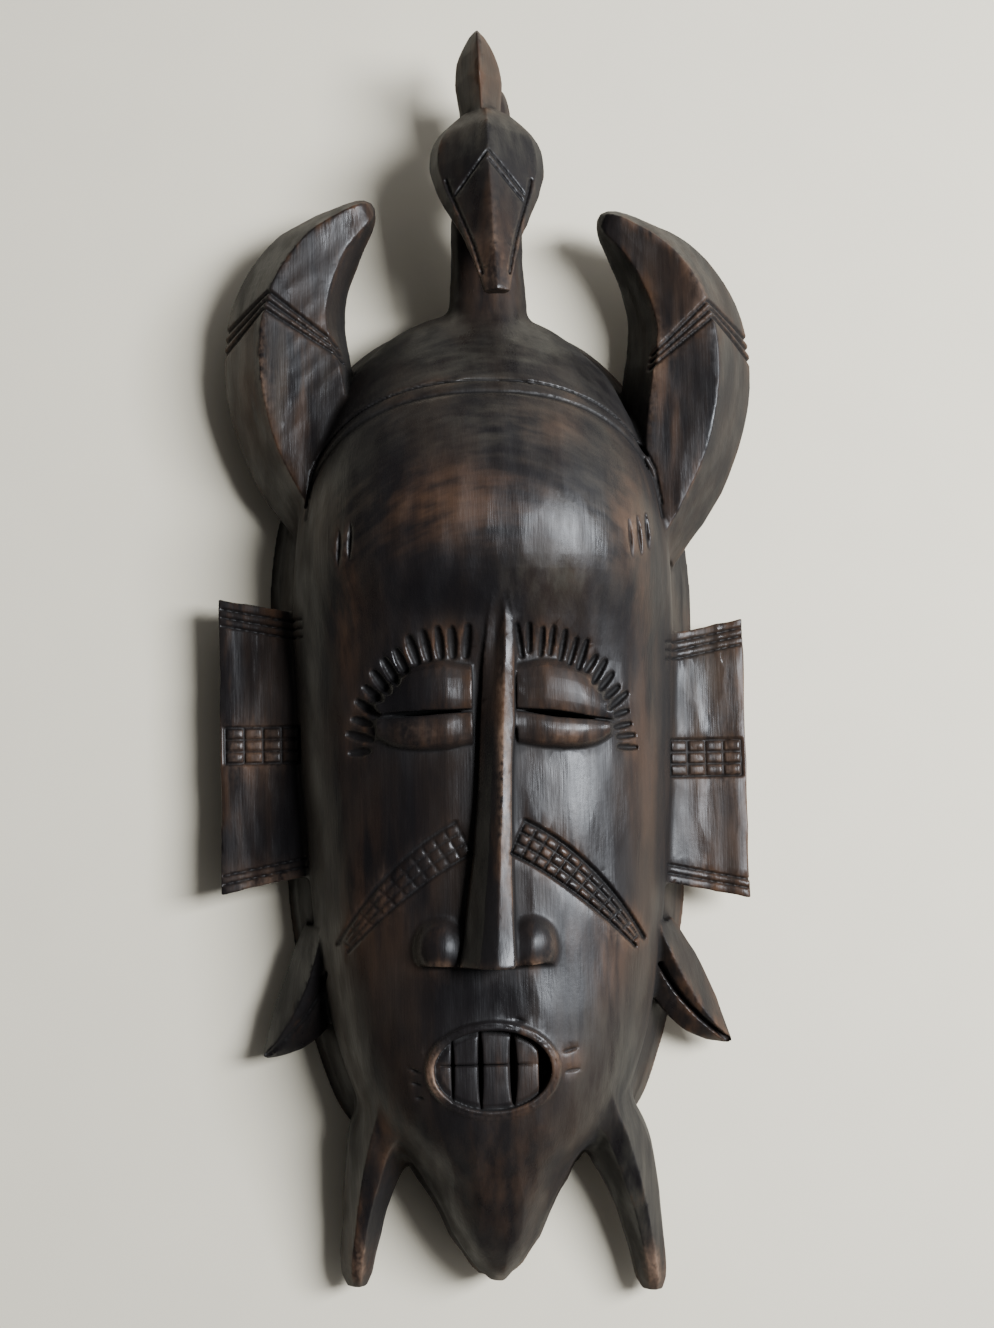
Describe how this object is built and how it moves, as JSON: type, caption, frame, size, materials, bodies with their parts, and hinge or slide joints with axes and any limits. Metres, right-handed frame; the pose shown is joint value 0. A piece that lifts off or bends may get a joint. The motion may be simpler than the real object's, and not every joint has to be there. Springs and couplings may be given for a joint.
{
  "type": "carved wooden face mask",
  "caption": "Carved dark wooden face mask with curved horns, a bird on the crown, side panels and a hollow back, resting on its rim.",
  "frame": {"origin": "middle of the back plane, under the middle of the mask's outline", "axes": "+X to the right as the face is seen, +Y up the face towards the bird's crest, +Z out of the face; the mask lies on the flat rim of its hollow back"},
  "size_m": [0.182, 0.42, 0.0738],
  "materials": {
    "stained_wood": "near-black brown stain under satin wax, rubbed to red brown on edges and high grain"
  },
  "bodies": {
    "root": {"mask": "stained_wood"}
  },
  "joints": []
}
